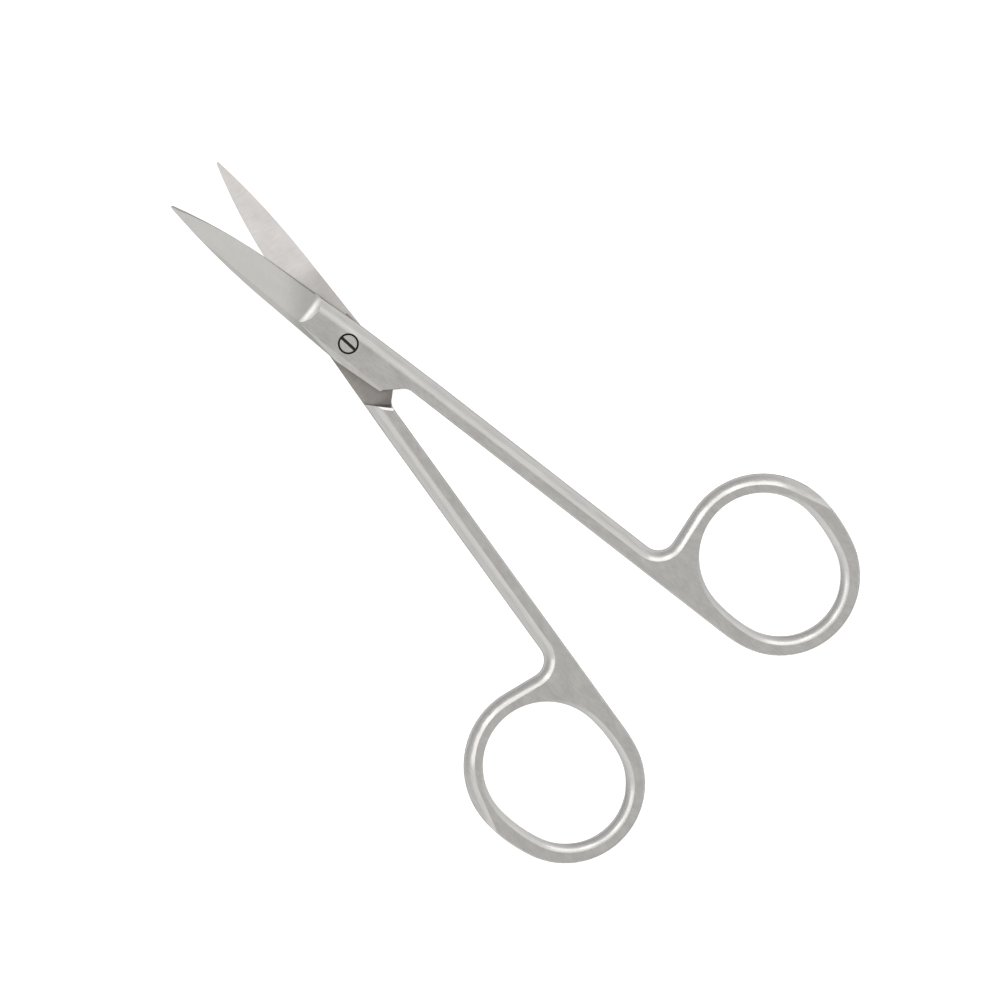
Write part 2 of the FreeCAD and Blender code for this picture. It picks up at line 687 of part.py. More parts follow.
def side_bevel_line():
    """Line that the side bevel follows, from the blade to where it leaves the ring.

    It runs down the outer side, and falls with the face of the shank. The last stretch
    is straight, so the bevel runs out where the ring curves away from it.
    """
    egg = Egg()
    side = outer_side()
    bend, joint = side[0]
    shank, neck_start = side[2]
    start = joint + (bend - joint) * (size("bevel_reach_y") / bend.y)
    taper_start = joint + (shank - joint) * size("taper_start_y / shank_start_y")
    depth = size("ring_thickness / 2 + bevel_joint_depth")
    run = neck_start.y - taper_start.y
    joint_level = size("joint_thickness") - depth

    def raised(point):
        share = min(max((neck_start.y - point.y) / run, 0), 1)
        return point + Vector(0, 0, joint_level * share)

    corners = [raised(point) for point in (start, joint, taper_start, shank, neck_start)]
    edges = [Part.LineSegment(*ends).toShape() for ends in zip(corners, corners[1:])]
    neck, web, near = side[3:6]
    near_turn = direction_of(near[1] - egg.near) + size("bevel_exit_turn")
    radius = size("loop_near_radius + ring_rim")
    leave = polar(egg.near, radius, near_turn)
    away = polar(Vector(), size("bevel_exit_length"), near_turn - 90)
    neck_middle = neck[2] + ((neck[0] + neck[1]) * 0.5 - neck[2]).normalize() * size("neck_radius")
    near_middle = egg.near + ((near[0] + leave) * 0.5 - egg.near).normalize() * radius
    edges += [
        Part.Arc(neck[0], neck_middle, neck[1]).toShape(),
        Part.LineSegment(web[0], web[1]).toShape(),
        Part.Arc(near[0], near_middle, leave).toShape(),
        Part.LineSegment(leave, leave + away).toShape(),
    ]
    return Part.Wire(edges)


def side_bevel(body):
    """Bevel down the outer side of the shank and round the ring."""
    line = doc.addObject("Part::Feature", body.Name + "SideBevelLine")
    line.Shape = side_bevel_line()
    ends = [vertex.Point for vertex in line.Shape.OrderedVertexes]
    heading = (ends[1] - ends[0]).normalize()
    inward = Vector(heading.y, -heading.x, 0).normalize()
    section = bevel_section(body, "SideBevelSection", ends[0], inward, "bevel_width",
                            "bevel_slope", "bevel_swell_radius")
    return mirrored(body, "SideBevelBelow", swept_cut(body, "SideBevel", line, section))


def loop_bevel(body):
    """Bevel round the opening of the ring, widest at the far end."""
    path = loop_path(body, "LoopPath", "loop_bevel_lead")
    egg = Egg()
    start = egg.ends(-size("loop_bevel_lead"))[3]
    outward = (start - egg.near).normalize()
    start += egg.to_far_end * size("loop_bevel_lead")
    section = bevel_section(body, "LoopBevelSection", start, outward, "loop_bevel_width",
                            "loop_bevel_slope", "loop_swell_radius")
    return mirrored(body, "LoopBevelBelow", swept_cut(body, "LoopBevel", path, section))


def honed_edge(body):
    """Narrow sharpened bevel along the cutting edge, from past the tip to the joint."""
    path = plane_sketch(body, "EdgePath", "XY_Plane")
    tip = Vector(size("tip_width / 2"), size("blade_reach - tip_width / 2"), 0)
    bend, joint = outer_side()[0]
    centre = arc_centre(tip, bend, size("edge_radius"))
    to_tip = (tip - centre).normalize()
    heading = Vector(to_tip.y, -to_tip.x, 0)
    ahead = tip - heading * size("tip_width")
    leave = joint + (bend - joint) * (size("hone_end_y") / bend.y)
    down = (leave - bend).normalize()
    exit_radius = size("hone_exit_radius")
    exit_centre = leave + Vector(-down.y, down.x, 0) * exit_radius
    exit_end = polar(exit_centre, exit_radius,
                     direction_of(leave - exit_centre) + size("hone_exit_turn"))
    drawn = draw(path, [
        (ahead, tip),
        (tip, bend, centre, "right"),
        (bend, leave),
        (leave, exit_end, exit_centre, "left"),
    ], closed=False)
    hold(path, drawn[1][0], drawn[1][2], "edge_bend_x", "edge_bend_y")
    hold_radius(path, drawn[1][0], "edge_radius")
    hold_radius(path, drawn[3][0], "hone_exit_radius")

    inward = Vector(heading.y, -heading.x, 0)
    frame = Rotation(inward, Vector(0, 0, 1), inward.cross(Vector(0, 0, 1)), "ZXY")
    section = plane_sketch(body, "EdgeSection", "XY_Plane", Placement(ahead, frame))
    rise = math.tan(math.radians(size("hone_slope")))
    land = size("ride_gap / 2 + edge_land")
    top = size("blade_tip_height")
    outside = -size("cutter_margin")
    corners = [
        Vector(outside, land + outside * rise, 0),
        Vector((top - land) / rise, top, 0),
        Vector(outside, top, 0),
    ]
    sides = draw(section, list(zip(corners, corners[1:] + corners[:1])))
    hold(section, sides[2][0], sides[2][1], "-cutter_margin", "blade_tip_height")
    return swept_cut(body, "HonedEdge", path, section)


def hollow_grind(body):
    """Shallow hollow along the inner face of the blade, ahead of the ride face."""
    cut = body.newObject("PartDesign::SubtractiveCylinder", "HollowGrind")
    planes = [item for item in body.Origin.OriginFeatures if item.Role == "XY_Plane"]
    cut.AttachmentSupport = (planes[0], "")
    cut.MapMode = "FlatFace"
    depth = size("ride_gap / 2 + hollow_depth - hollow_radius")
    start = Vector(0, size("hollow_start_y"), depth)
    cut.AttachmentOffset = Placement(start, Rotation(Vector(1, 0, 0), -90))
    bind(cut, "Radius", "hollow_radius")
    bind(cut, "Height", "blade_reach")
    doc.recompute()
    return cut


def bore(body, name, level_formula, radius_formula, depth_formula=None):
    """Round hole on the pivot axis, down from a level or right through."""
    level = Placement(Vector(0, 0, size(level_formula)), Rotation())
    sketch = plane_sketch(body, name + "Circle", "XY_Plane", level)
    bind(sketch, "AttachmentOffset.Base.z", level_formula)
    circle(sketch, radius_formula)
    if depth_formula is None:
        return through_cut(body, name, sketch)
    cut = feature(body, "Pocket", name, sketch, Type="Length", Length=size(depth_formula))
    bind(cut, "Length", depth_formula)
    doc.recompute()
    return cut


def half(name, label):
    """Forging, grinding and finishing of one half, without its pivot hole."""
    body = doc.addObject("PartDesign::Body", name)
    body.Label = label
    blank = feature(body, "Pad", "Blank", outline(body), SideType="Symmetric")
    bind(blank, "Length", "2 * joint_thickness")
    doc.recompute()
    taper(body)
    recess(body)
    blade_grinding(body)
    soften_edges(body)
    lip_bevel(body)
    through_cut(body, "Opening", loop_path(body, "OpeningOutline"))
    side_bevel(body)
    loop_bevel(body)
    honed_edge(body)
    hollow_grind(body)
    return body


def upper_half():
    """Half that turns on the screw; its counterbore takes the screw head."""
    body = half("UpperHalf", "upper_half")
    bore(body, "Counterbore", "joint_thickness", "head_diameter / 2 + head_clearance",
         "head_recess + head_height + seat_clearance")
    bore(body, "PivotHole", "0", "pin_diameter / 2 + pin_clearance")
    body.Placement = Placement(Vector(0, 0, 1), Rotation(Vector(0, 0, 1), 1))
    bind(body, "Placement.Base.z", "joint_thickness")
    bind(body, "Placement.Rotation.Angle", "opening_angle / 2")
    return body


def lower_half():
    """Half that the screw is driven into, turned over about its length."""
    body = half("LowerHalf", "lower_half")
    bore(body, "ThreadedHole", "0", "thread_diameter / 2 + thread_clearance")
    turned_over = Rotation(Vector(0, 1, 0), 180)
    opened = Rotation(Vector(0, 0, 1), -size("opening_angle / 2"))
    body.Placement = Placement(Vector(0, 0, size("joint_thickness")), opened * turned_over)
    bind(body, "Placement.Base.z", "joint_thickness")
    return body


def pivot_screw():
    """Shoulder screw: slotted head, smooth pin and a threaded end."""
    body = doc.addObject("PartDesign::Body", "PivotScrew")
    body.Label = "pivot_screw"
    top = "joint_thickness - head_recess"
    under_head = "joint_thickness - head_recess - head_height"
    profile = plane_sketch(body, "ScrewProfile", "XZ_Plane")
    polygon(profile, [
        ("0", "thread_recess - joint_thickness"),
        ("thread_diameter / 2", "thread_recess - joint_thickness"),
        ("thread_diameter / 2", "-ride_gap / 2"),
        ("pin_diameter / 2", "-ride_gap / 2"),
        ("pin_diameter / 2", under_head),
        ("head_diameter / 2", under_head),
        ("head_diameter / 2", top + " - head_edge_chamfer"),
        ("head_diameter / 2 - head_edge_chamfer", top),
        ("0", top),
    ])
    feature(body, "Revolution", "Turned", profile, Angle=360,
            ReferenceAxis=(profile, ["V_Axis"]))
    face = plane_sketch(body, "SlotOutline", "XY_Plane", Placement(Vector(0, 0, 1), Rotation()))
    bind(face, "AttachmentOffset.Base.z", top)
    polygon(face, [
        ("-slot_width / 2", "-head_diameter"),
        ("slot_width / 2", "-head_diameter"),
        ("slot_width / 2", "head_diameter"),
        ("-slot_width / 2", "head_diameter"),
    ])
    slot = feature(body, "Pocket", "Slot", face, Type="Length", Length=size("slot_depth"))
    bind(slot, "Length", "slot_depth")
    body.Placement = Placement(Vector(0, 0, 1), Rotation(Vector(0, 0, 1), 1))
    bind(body, "Placement.Base.z", "joint_thickness")
    bind(body, "Placement.Rotation.Angle", "slot_turn")
    return body


pieces = [upper_half(), lower_half(), pivot_screw()]
doc.recompute()

for item in doc.Objects:
    if "Invalid" in item.State or "Error" in item.State:
        raise RuntimeError(f"{item.Name} did not recompute: {item.State}")
for piece in pieces:
    shape = piece.Shape
    if shape.isNull() or not shape.isValid() or len(shape.Solids) != 1:
        raise RuntimeError(f"{piece.Label} is not one valid solid")

os.makedirs("parts", exist_ok=True)
for piece in pieces:
    piece.Shape.exportStep(os.path.join("parts", piece.Label + ".step"))
    box = piece.Shape.BoundBox
    print(piece.Label, f"{piece.Shape.Volume:.2f} mm3", box)
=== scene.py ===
import math
from collections import namedtuple

import bmesh
import bpy
import numpy as np
from mathutils import Matrix, Vector


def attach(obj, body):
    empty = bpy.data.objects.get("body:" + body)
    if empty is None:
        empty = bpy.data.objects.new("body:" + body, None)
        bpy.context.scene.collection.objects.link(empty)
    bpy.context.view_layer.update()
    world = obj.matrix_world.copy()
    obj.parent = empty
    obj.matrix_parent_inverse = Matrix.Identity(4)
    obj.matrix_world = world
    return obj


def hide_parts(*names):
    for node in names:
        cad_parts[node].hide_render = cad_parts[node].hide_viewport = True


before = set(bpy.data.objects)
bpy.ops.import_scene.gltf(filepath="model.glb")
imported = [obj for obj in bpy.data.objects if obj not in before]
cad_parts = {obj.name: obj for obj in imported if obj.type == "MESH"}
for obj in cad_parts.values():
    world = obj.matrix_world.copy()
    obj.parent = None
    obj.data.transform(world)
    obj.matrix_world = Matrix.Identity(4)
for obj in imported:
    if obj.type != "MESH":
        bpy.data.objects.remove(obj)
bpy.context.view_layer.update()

# Straight iris scissors, seen from above on a white table.
#
# The two halves and the screw keep the solids' own shape. Each is carried over as one
# welded mesh with smooth normals, so that the ground curves reflect as curves, and each
# face gets the finish that its work left on it: satin brushed flats, ground blades,
# lapped inner faces, polished bevels, stoned edges. Some colours hold painted light:
# edges, lap, counterbore and slot are painted darker as painted shade, and the blade's
# run-out is painted near white as a painted highlight.

MM = 0.001
PER_MM = (1 / MM, 1 / MM, 1 / MM)
JOINT_LEVEL = 2.0 * MM
HALF_OPENING = math.radians(8.13)
WELD = 0.0005 * MM
CREASE_ANGLE = math.radians(18)
# What lies lower than this on the screw is its slot, rim and pin.
HEAD_FACE_FOOT = 3.95 * MM

# The photograph's frame: the width that it covers at the level of the joint, its middle
# and its turn
VIEW_WIDTH = 145.75 * MM
VIEW_CENTRE = (0.08 * MM, -31.75 * MM)
VIEW_TURN = math.radians(-44.01)
CAMERA_HEIGHT = 1.2
SENSOR_WIDTH = 36.0


def linear(hex_colour):
    """An sRGB hex colour as linear red, green, blue and alpha."""
    channels = [int(hex_colour[i:i + 2], 16) / 255 for i in (1, 3, 5)]
    return [
        c / 12.92 if c <= 0.04045 else ((c + 0.055) / 1.055) ** 2.4 for c in channels
    ] + [1.0]


def add_node(tree, kind, inputs=None, **settings):
    """A shader node with its settings; an input is a value or the socket that feeds it."""
    made = tree.nodes.new(kind)
    for setting, value in settings.items():
        setattr(made, setting, value)
    for name, value in (inputs or {}).items():
        if isinstance(value, bpy.types.NodeSocket):
            tree.links.new(value, made.inputs[name])
        else:
            made.inputs[name].default_value = value
    return made


# Steel finishes
#
# Every pattern lies in the frame of its own half: y along the blade and shank, x across.

GRAIN_SEED = 3.7
MOTTLE_SEED = 11.3
MOTTLE_SHARE = 0.45

# Painted light and shade along a half: a finish keeps only a share of its colour on one
# side of a place, and the share changes softly where y + lean * x goes from start to
# end, in millimetres.
Fade = namedtuple("Fade", "lean start start_share end end_share")

# The Mix node's colour sockets have the names of its other ones, so they go by number.
COLOUR_A, COLOUR_B, COLOUR_OUT = 6, 7, 2


def half_frame(tree, turn):
    """Object coordinates in millimetres, turned into the frame of one half."""
    place = add_node(tree, "ShaderNodeTexCoord")
    return add_node(tree, "ShaderNodeMapping", {
        "Vector": place.outputs["Object"],
        "Rotation": (0, 0, turn),
        "Scale": PER_MM,
    }).outputs["Vector"]


def stretched_noise(tree, position, pitch, seed):
    """Noise whose grain is pitch = (x, y, z) millimetres long, between 0 and 1."""
    scaled = add_node(tree, "ShaderNodeVectorMath", {
        0: position,
        1: tuple(1 / size for size in pitch),
    }, operation="MULTIPLY").outputs["Vector"]
    moved = add_node(tree, "ShaderNodeVectorMath", {0: scaled, 1: (seed, seed, seed)},
                     operation="ADD").outputs["Vector"]
    return add_node(tree, "ShaderNodeTexNoise", {
        "Vector": moved,
        "Scale": 1.0,
        "Detail": 2.0,
        "Roughness": 0.5,
    }).outputs["Fac"]


def new_material(name):
    """A material with an empty node tree."""
    material = bpy.data.materials.new(name)
    material.use_nodes = True
    material.node_tree.nodes.clear()
    return material, material.node_tree


def fade_along(tree, position, fade):
    """Share of its colour that a finish keeps along the half: painted light and shade."""
    along = add_node(tree, "ShaderNodeVectorMath", {0: position, 1: (fade.lean, 1, 0)},
                     operation="DOT_PRODUCT").outputs["Value"]
    return add_node(tree, "ShaderNodeMapRange", {
        "Value": along,
        "From Min": fade.start,
        "From Max": fade.end,
        "To Min": fade.start_share,
        "To Max": fade.end_share,
    }, interpolation_type="SMOOTHSTEP").outputs["Result"]


def steel(name, turn, colours, grain, mottle, roughness, scratch_depth, fade=None):
    """Stainless steel with a ground or brushed grain.

    grain and mottle are the sizes in millimetres of a scratch and of a cloud, across,
    along and through the half. The colour lies between the two of colours by a mix of
    both noises, and the roughness goes from its low to its high value with the same mix.
    The grain also stands in the surface by scratch_depth millimetres.
    """
    material, tree = new_material(name)
    position = half_frame(tree, turn)
    lines = stretched_noise(tree, position, grain, GRAIN_SEED)
    clouds = stretched_noise(tree, position, mottle, MOTTLE_SEED)
    blend = add_node(tree, "ShaderNodeMix", {
        "Factor": MOTTLE_SHARE,
        "A": lines,
        "B": clouds,
    }, data_type="FLOAT").outputs["Result"]
    share = add_node(tree, "ShaderNodeMapRange", {
        "Value": blend,
        "From Min": 0.3,
        "From Max": 0.7,
    }).outputs["Result"]
    colour = add_node(tree, "ShaderNodeMix", {
        "Factor": share,
        COLOUR_A: linear(colours[0]),
        COLOUR_B: linear(colours[1]),
    }, data_type="RGBA").outputs[COLOUR_OUT]
    # The fade scales the colour along the half: painted light and shade
    if fade is not None:
        colour = add_node(tree, "ShaderNodeVectorMath", {
            0: colour,
            "Scale": fade_along(tree, position, fade),
        }, operation="SCALE").outputs["Vector"]
    rough = add_node(tree, "ShaderNodeMapRange", {
        "Value": share,
        "To Min": roughness[0],
        "To Max": roughness[1],
    }).outputs["Result"]
    relief = add_node(tree, "ShaderNodeBump", {
        "Strength": 1.0,
        "Distance": scratch_depth * MM,
        "Height": lines,
    }).outputs["Normal"]
    shader = add_node(tree, "ShaderNodeBsdfPrincipled", {
        "Base Color": colour,
        "Metallic": 1.0,
        "Roughness": rough,
        "Normal": relief,
    }).outputs["BSDF"]
    add_node(tree, "ShaderNodeOutputMaterial", {"Surface": shader})
    return material


def shaded_steel(name):
    """Cut stainless steel, left rough in slot and counterbore and painted dark: painted
    shade.
    """
    material, tree = new_material(name)
    shader = add_node(tree, "ShaderNodeBsdfPrincipled", {
        "Base Color": linear("#454341"),
        "Metallic": 1.0,
        "Roughness": 0.55,
    }).outputs["BSDF"]
    add_node(tree, "ShaderNodeOutputMaterial", {"Surface": shader})
    return material


def finishes(side, turn, across):
    """The finishes of one half, in the order that face_finish numbers them.

    across is 1 where x of the half and of the object agree, and -1 where they don't. The
    real scratches are 0.01 to 0.03 mm wide, too fine for the picture, and all of them
    are drawn about 0.15 mm wide.
    """
    return [
        # Satin stainless steel, brushed along its length on a fine belt: an even soft
        # grey with short faint strokes.
        steel(f"satin_brushed_steel_{side}", turn, ("#b1aeab", "#c8c6c2"),
              grain=(0.14, 0.9, 0.5), mottle=(1.6, 3.0, 2.0),
              roughness=(0.3, 0.38), scratch_depth=0.002),
        # Ground stainless steel: a wheel that ran across the blade leaves it paler. The
        # colour is painted greyer near the joint, a painted shade.
        steel(f"ground_blade_steel_painted_shade_{side}", turn, ("#b8b7b3", "#c2c1bd"),
              grain=(0.9, 0.16, 0.5), mottle=(2.0, 5.0, 2.0),
              roughness=(0.34, 0.4), scratch_depth=0.002,
              fade=Fade(lean=-0.7 * across, start=7.5, start_share=0.76,
                        end=12.5, end_share=1.0)),
        # Lapped stainless steel: the inner face is rubbed flat on fine paper, across the
        # blade, with faint cross strokes. It is painted the palest, partly a painted sheen of
        # the lamps, and painted darker near the joint, a painted shade.
        steel(f"lapped_inner_steel_{side}", turn, ("#dbd7d4", "#ebe7e4"),
              grain=(1.2, 0.16, 0.5), mottle=(1.5, 3.0, 2.0),
              roughness=(0.36, 0.44), scratch_depth=0.002,
              fade=Fade(lean=0.0, start=10.0, start_share=0.76,
                        end=14.0, end_share=1.0)),
        # Polished stainless steel: the bevels run over a felt wheel, so that they
        # mirror the windows as clear stripes.
        steel(f"polished_bevel_steel_{side}", turn, ("#bbb9b7", "#c9c7c4"),
              grain=(0.2, 2.5, 0.2), mottle=(2.0, 5.0, 2.0),
              roughness=(0.2, 0.26), scratch_depth=0.001),
        # Milled stainless steel: the lap of the joint is left as the cutter made it, dull,
        # with fine cross lines. It is painted darker, a painted shade beside the other half,
        # and darkest at the foot of its step, painted shade too.
        steel(f"milled_lap_steel_painted_shade_{side}", turn, ("#98938f", "#b0aca8"),
              grain=(1.4, 0.14, 0.5), mottle=(1.0, 2.0, 2.0),
              roughness=(0.5, 0.6), scratch_depth=0.004,
              fade=Fade(lean=0.0, start=-10.2, start_share=0.7,
                        end=-8.8, end_share=1.0)),
        # Painted highlight at the run-out of the wheel: the arc is painted near white and
        # fades into the ground face.
        steel(f"run_out_steel_painted_highlight_{side}", turn, ("#f4f2ef", "#fbf9f6"),
              grain=(0.9, 0.16, 0.5), mottle=(2.0, 5.0, 2.0),
              roughness=(0.44, 0.48), scratch_depth=0.001,
              fade=Fade(lean=0.0, start=7.1, start_share=1.0,
                        end=7.9, end_share=0.42)),
        # Painted shade on edges: the honed cutting edge and all other broken edges are
        # painted darker, drawn as thin dark lines with lengthwise strokes.
        steel(f"edge_steel_painted_shade_{side}", turn, ("#9a9793", "#a6a39f"),
              grain=(0.14, 0.9, 0.5), mottle=(1.6, 3.0, 2.0),
              roughness=(0.3, 0.36), scratch_depth=0.002),
        # Cut steel in the counterbore, painted dark: painted shade
        shaded_steel(f"cut_steel_painted_shade_{side}"),
    ]


SATIN, GROUND, LAPPED, POLISHED, MILLED_LAP_PAINTED_SHADE, RUN_OUT_PAINTED_HIGHLIGHT, EDGE_PAINTED_SHADE, BORE_PAINTED_SHADE = range(8)

# The ground face of the blade, in millimetres, as the part has it: its place along the
# blade and its height, at the root and at the tip, and its roll to the cutting edge
GRIND_ROOT = (6.6, 1.3)
GRIND_TIP = (32.7, 0.46)
GRIND_ROLL = math.radians(18)
ON_GRIND = 0.01
ABOVE_GRIND = 0.004

# Places along a half, in millimetres: the blade starts before the wheel's run-out, and
# the milled lap ends at the cutting edges
BLADE_START = 5.9
RUN_OUT_END = 8.8
RUN_OUT_FOOT = 0.3
LAP_END = 3.7
LAP_HEIGHT = 0.2
COUNTERBORE_RADIUS = 1.53
BORE_MARGIN = 0.01

# Shares of a face's normal that tell the faces apart: upward for flats, bevels, broken
# edges and walls, and across and along the blade for what the wheels cut there
FLAT_UP = 0.93
BEVEL_UP = 0.55
WALL_UP = 0.05
OUTER_UP = 0.5
INNER_UP = -0.97
BACK_ACROSS = -0.5
HONED_ACROSS = 0.4
RUN_OUT_ALONG = 0.08
RUN_OUT_WALL_ALONG = 0.5


def face_finish(centre, normal):
    """Number of the finish of each face, from its centre and normal in the half's frame.

    In that frame, in millimetres, the parting plane is z = 0, the pivot is at the
    origin and +y runs to the tip. Later lines overrule earlier ones.
    """
    x, y, z = centre.T
    across, along, up = normal.T
    number = np.full(len(centre), SATIN)
    slanted = np.abs(up) > WALL_UP
    number[slanted & (np.abs(up) < FLAT_UP)] = POLISHED
    # Steep broken edges: painted shade of dark edge lines
    number[slanted & (np.abs(up) < BEVEL_UP)] = EDGE_PAINTED_SHADE
    fall = (GRIND_ROOT[1] - GRIND_TIP[1]) / (GRIND_TIP[0] - GRIND_ROOT[0])
    ground = GRIND_ROOT[1] - fall * (y - GRIND_ROOT[0]) - math.tan(GRIND_ROLL) * x
    blade = (y > BLADE_START) & (up > OUTER_UP)
    number[blade & (np.abs(z - ground) < ON_GRIND)] = GROUND
    number[blade & (across < BACK_ACROSS)] = GROUND
    # The honed cutting edge: painted shade of a dark edge line
    number[blade & (across > HONED_ACROSS)] = EDGE_PAINTED_SHADE
    run_out = (y > BLADE_START) & (y < RUN_OUT_END)
    # The wheel's run-out and its wall: painted highlight
    number[blade & run_out & (along > RUN_OUT_ALONG) & (z > ground + ABOVE_GRIND)] = RUN_OUT_PAINTED_HIGHLIGHT
    number[run_out & (along > RUN_OUT_WALL_ALONG) & (z > RUN_OUT_FOOT)] = RUN_OUT_PAINTED_HIGHLIGHT
    inner = (up < INNER_UP) & (np.abs(z) < LAP_HEIGHT)
    number[inner & (y > LAP_END)] = LAPPED
    # The milled lap: painted shade
    number[inner & (y <= LAP_END)] = MILLED_LAP_PAINTED_SHADE
    # The counterbore: painted shade
    number[np.hypot(x, y) < COUNTERBORE_RADIUS + BORE_MARGIN] = BORE_PAINTED_SHADE
    return number


def turned_steel():
    """Turned stainless steel: the tool's rings spread the light to both sides."""
    material, tree = new_material("turned_screw_steel")
    place = add_node(tree, "ShaderNodeTexCoord")
    from_axis = add_node(tree, "ShaderNodeVectorMath", {
        0: place.outputs["Object"],
        1: (1 / MM, 1 / MM, 0),
    }, operation="MULTIPLY").outputs["Vector"]
    radius = add_node(tree, "ShaderNodeVectorMath", {0: from_axis},
                      operation="LENGTH").outputs["Value"]
    # The real rings are about 0.03 mm apart, too fine for the picture, and are drawn
    # about 0.2 mm apart.
    rings = add_node(tree, "ShaderNodeTexNoise", {
        "W": radius,
        "Scale": 5.0,
        "Detail": 1.0,
    }, noise_dimensions="1D").outputs["Fac"]
    colour = add_node(tree, "ShaderNodeMix", {
        "Factor": rings,
        COLOUR_A: linear("#a9a6a2"),
        COLOUR_B: linear("#dcd9d5"),
    }, data_type="RGBA").outputs[COLOUR_OUT]
    round_axis = add_node(tree, "ShaderNodeVectorMath", {0: (0, 0, 1), 1: from_axis},
                          operation="CROSS_PRODUCT").outputs["Vector"]
    shader = add_node(tree, "ShaderNodeBsdfPrincipled", {
        "Base Color": colour,
        "Metallic": 1.0,
        "Roughness": 0.32,
        "Anisotropic": 0.6,
        "Tangent": round_axis,
    }).outputs["BSDF"]
    add_node(tree, "ShaderNodeOutputMaterial", {"Surface": shader})
    return material


def welded_copy(name, node):
    """The node's mesh with its triangles welded and its normals smooth between creases."""
    made = bmesh.new()
    made.from_mesh(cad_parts[node].data)
    bmesh.ops.remove_doubles(made, verts=made.verts, dist=WELD)
    made.normal_update()
    for face in made.faces:
        face.smooth = True
    for edge in made.edges:
        edge.smooth = edge.is_manifold and edge.calc_face_angle(0) < CREASE_ANGLE
    mesh = bpy.data.meshes.new(name)
    made.to_mesh(mesh)
    made.free()
    piece = bpy.data.objects.new(name, mesh)
    bpy.context.scene.collection.objects.link(piece)
    even = piece.modifiers.new("flats_stay_flat", "WEIGHTED_NORMAL")
    even.keep_sharp = True
    even.weight = 100
    return piece


def half_piece(side, turn, turned_over):
    """One half of the scissors, with a finish for each of its faces."""
    node = f"{side}_half"
    piece = welded_copy(f"{node}_steel", node)
    mesh = piece.data
    centre = np.empty(len(mesh.polygons) * 3)
    normal = np.empty(len(mesh.polygons) * 3)
    mesh.polygons.foreach_get("center", centre)
    mesh.polygons.foreach_get("normal", normal)
    to_half = np.array(Matrix.Rotation(turn, 3, "Z"))
    if turned_over:
        to_half = np.diag([-1.0, 1.0, -1.0]) @ to_half
    centre = (centre.reshape(-1, 3) - [0, 0, JOINT_LEVEL]) @ to_half.T / MM
    normal = normal.reshape(-1, 3) @ to_half.T
    for material in finishes(side, turn, across=-1 if turned_over else 1):
        mesh.materials.append(material)
    number = face_finish(centre, normal)
    mesh.polygons.foreach_set("material_index", number.astype(np.int32))
    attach(piece, side)
    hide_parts(node)


def screw_piece():
    """The pivot screw: a turned head, and a slot and pin painted dark as painted shade."""
    piece = welded_copy("pivot_screw_steel", "pivot_screw")
    piece.data.materials.append(turned_steel())
    # Slot, rim and pin: dark steel as painted shade
    piece.data.materials.append(shaded_steel("cut_steel_painted_shade_screw"))
    for face in piece.data.polygons:
        face.material_index = int(face.center.z < HEAD_FACE_FOOT)
    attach(piece, "lower")
    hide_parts("pivot_screw")


# Table, light and camera

TABLE_REACH = 1.5
TABLE_GLOW = 0.72
WHITE = "#ffffff"

# Three strip softboxes beyond the tips, side by side: azimuth in degrees from +Y,
# clockwise from above; distance and sizes in metres; power in watts
STRIP_AZIMUTHS = (-28, 8, 44)
STRIP_ELEVATION = 38.5
STRIP_DISTANCE = 0.8
STRIP_WIDTH = 0.52
STRIP_HEIGHT = 0.14
STRIP_POWER = 0.31

# Brightness of the plain room by the height of a direction, from 0, level, to 1, straight
# up, and of two bands of windows round it. A band counts by the side that it is on, from
# -1, behind the rings, to 1, beyond the tips.
ROOM_LIGHT = ((0.0, 0.55), (0.45, 0.66), (1.0, 0.8))
HIGH_WINDOWS = ((0.2, 0.05), (0.36, 0.3), (0.5, 0.85), (0.64, 1.0), (0.77, 0.75),
                (0.9, 0.3), (1.0, 0.0))
HIGH_SIDES = ((-1.0, 0.0), (-0.3, 0.3), (0.14, 0.5), (0.6, 0.4), (0.9, 0.1), (1.0, 0.05))
LOW_WINDOWS = ((0.0, 1.0), (0.14, 1.0), (0.28, 0.5), (0.42, 0.1), (0.5, 0.0))
LOW_SIDES = ((-1.0, 0.1), (-0.5, 0.35), (0.1, 0.5), (0.5, 0.3), (0.8, 0.05), (1.0, 0.05))


def table_top():
    """White table, for the lens and in the steel's mirror alike.

    The lens sees its paint with some glow, which is white in the light and leaves the
    scissors' soft shadow. A mirrored ray sees plain white, and all other light the paint.
    """
    mesh = bpy.data.meshes.new("table")
    corners = [(-1, -1), (1, -1), (1, 1), (-1, 1)]
    mesh.from_pydata([(x * TABLE_REACH, y * TABLE_REACH, 0) for x, y in corners],
                     [], [(0, 1, 2, 3)])
    table = bpy.data.objects.new("table", mesh)
    bpy.context.scene.collection.objects.link(table)
    material, tree = new_material("white_table")
    paint = add_node(tree, "ShaderNodeBsdfDiffuse", {"Color": linear("#e6e6e6")})
    glow = add_node(tree, "ShaderNodeEmission", {
        "Color": linear(WHITE),
        "Strength": TABLE_GLOW,
    })
    white = add_node(tree, "ShaderNodeEmission", {"Color": linear(WHITE), "Strength": 1.0})
    lit = add_node(tree, "ShaderNodeAddShader", {0: paint.outputs[0], 1: glow.outputs[0]})
    ray = add_node(tree, "ShaderNodeLightPath")
    mirrored = add_node(tree, "ShaderNodeMath", {
        0: ray.outputs["Is Glossy Ray"],
        1: ray.outputs["Is Transmission Ray"],
    }, operation="MAXIMUM")
    in_mirrors = add_node(tree, "ShaderNodeMixShader", {
        0: mirrored.outputs[0],
        1: paint.outputs[0],
        2: white.outputs[0],
    })
    seen = add_node(tree, "ShaderNodeMixShader", {
        0: ray.outputs["Is Camera Ray"],
        1: in_mirrors.outputs[0],
        2: lit.outputs[0],
    })
    add_node(tree, "ShaderNodeOutputMaterial", {"Surface": seen.outputs[0]})
    mesh.materials.append(material)


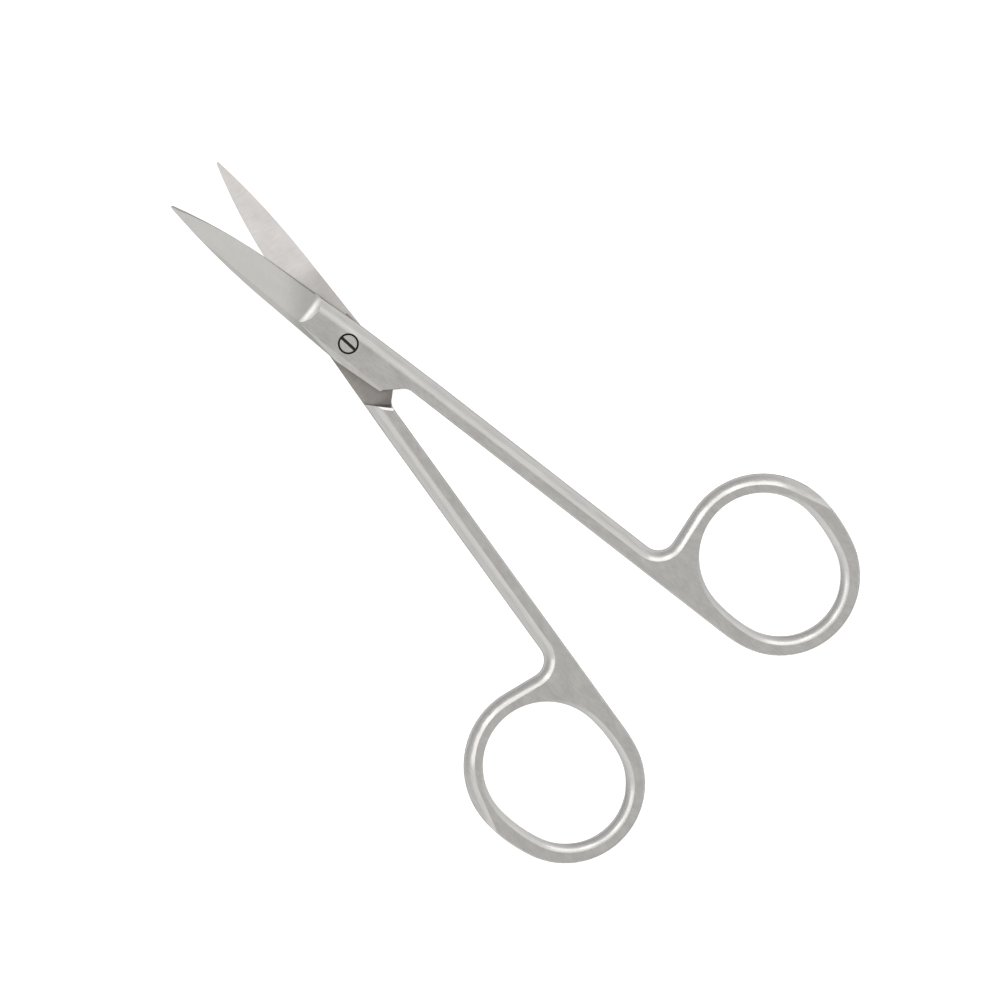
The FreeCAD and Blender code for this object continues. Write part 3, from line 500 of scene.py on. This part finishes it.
def strip_softbox(number, azimuth):
    """One strip lamp that points at the scissors."""
    name = f"strip_softbox_{number}"
    turn = math.radians(azimuth)
    rise = math.radians(STRIP_ELEVATION)
    direction = Vector((math.sin(turn) * math.cos(rise), math.cos(turn) * math.cos(rise),
                        math.sin(rise)))
    lamp = bpy.data.lights.new(name, "AREA")
    lamp.shape = "RECTANGLE"
    lamp.size = STRIP_WIDTH
    lamp.size_y = STRIP_HEIGHT
    lamp.energy = STRIP_POWER
    made = bpy.data.objects.new(name, lamp)
    bpy.context.scene.collection.objects.link(made)
    target = Vector((VIEW_CENTRE[0], VIEW_CENTRE[1], 0))
    made.location = target + direction * STRIP_DISTANCE
    made.rotation_euler = direction.to_track_quat("Z", "Y").to_euler()


def brightness_ramp(tree, place, table, low):
    """Brightness read from a table of (place, level), whose places run from low to 1."""
    share = add_node(tree, "ShaderNodeMapRange", {"Value": place, "From Min": low})
    ramp = add_node(tree, "ShaderNodeValToRGB", {"Fac": share.outputs["Result"]})
    stops = ramp.color_ramp.elements
    while len(stops) < len(table):
        stops.new(0.5)
    for stop, (direction, level) in zip(stops, table):
        stop.position = (direction - low) / (1 - low)
        stop.color = (level, level, level, 1)
    return ramp.outputs["Color"]


def studio_world():
    """Pale room with two bands of windows: room + high * its side + low * its side."""
    world = bpy.data.worlds.new("studio")
    bpy.context.scene.world = world
    world.use_nodes = True
    tree = world.node_tree
    tree.nodes.clear()
    place = add_node(tree, "ShaderNodeTexCoord")
    parts = add_node(tree, "ShaderNodeSeparateXYZ", {"Vector": place.outputs["Generated"]})
    level_part = add_node(tree, "ShaderNodeVectorMath", {
        0: place.outputs["Generated"],
        1: (1, 1, 0),
    }, operation="MULTIPLY")
    facing = add_node(tree, "ShaderNodeVectorMath", {0: level_part.outputs["Vector"]},
                      operation="NORMALIZE")
    side = add_node(tree, "ShaderNodeSeparateXYZ", {"Vector": facing.outputs["Vector"]})
    level = brightness_ramp(tree, parts.outputs["Z"], ROOM_LIGHT, 0.0)
    for heights, sides in ((HIGH_WINDOWS, HIGH_SIDES), (LOW_WINDOWS, LOW_SIDES)):
        level = add_node(tree, "ShaderNodeMath", {
            0: brightness_ramp(tree, parts.outputs["Z"], heights, 0.0),
            1: brightness_ramp(tree, side.outputs["Y"], sides, -1.0),
            2: level,
        }, operation="MULTIPLY_ADD").outputs[0]
    room = add_node(tree, "ShaderNodeBackground", {
        "Color": linear(WHITE),
        "Strength": level,
    })
    add_node(tree, "ShaderNodeOutputWorld", {"Surface": room.outputs[0]})


def camera_above():
    """Camera straight above the scissors, turned as the photograph is."""
    lens = bpy.data.cameras.new("camera")
    lens.sensor_width = SENSOR_WIDTH
    lens.lens = SENSOR_WIDTH * (CAMERA_HEIGHT - JOINT_LEVEL) / VIEW_WIDTH
    lens.clip_end = 20
    made = bpy.data.objects.new("camera", lens)
    bpy.context.scene.collection.objects.link(made)
    made.location = (VIEW_CENTRE[0], VIEW_CENTRE[1], CAMERA_HEIGHT)
    made.rotation_euler = (0, 0, VIEW_TURN)
    bpy.context.scene.camera = made


half_piece("upper", -HALF_OPENING, turned_over=False)
half_piece("lower", HALF_OPENING, turned_over=True)
screw_piece()

table_top()
studio_world()
for number, azimuth in enumerate(STRIP_AZIMUTHS):
    strip_softbox(number, azimuth)
camera_above()
bpy.context.scene.view_settings.view_transform = "Standard"
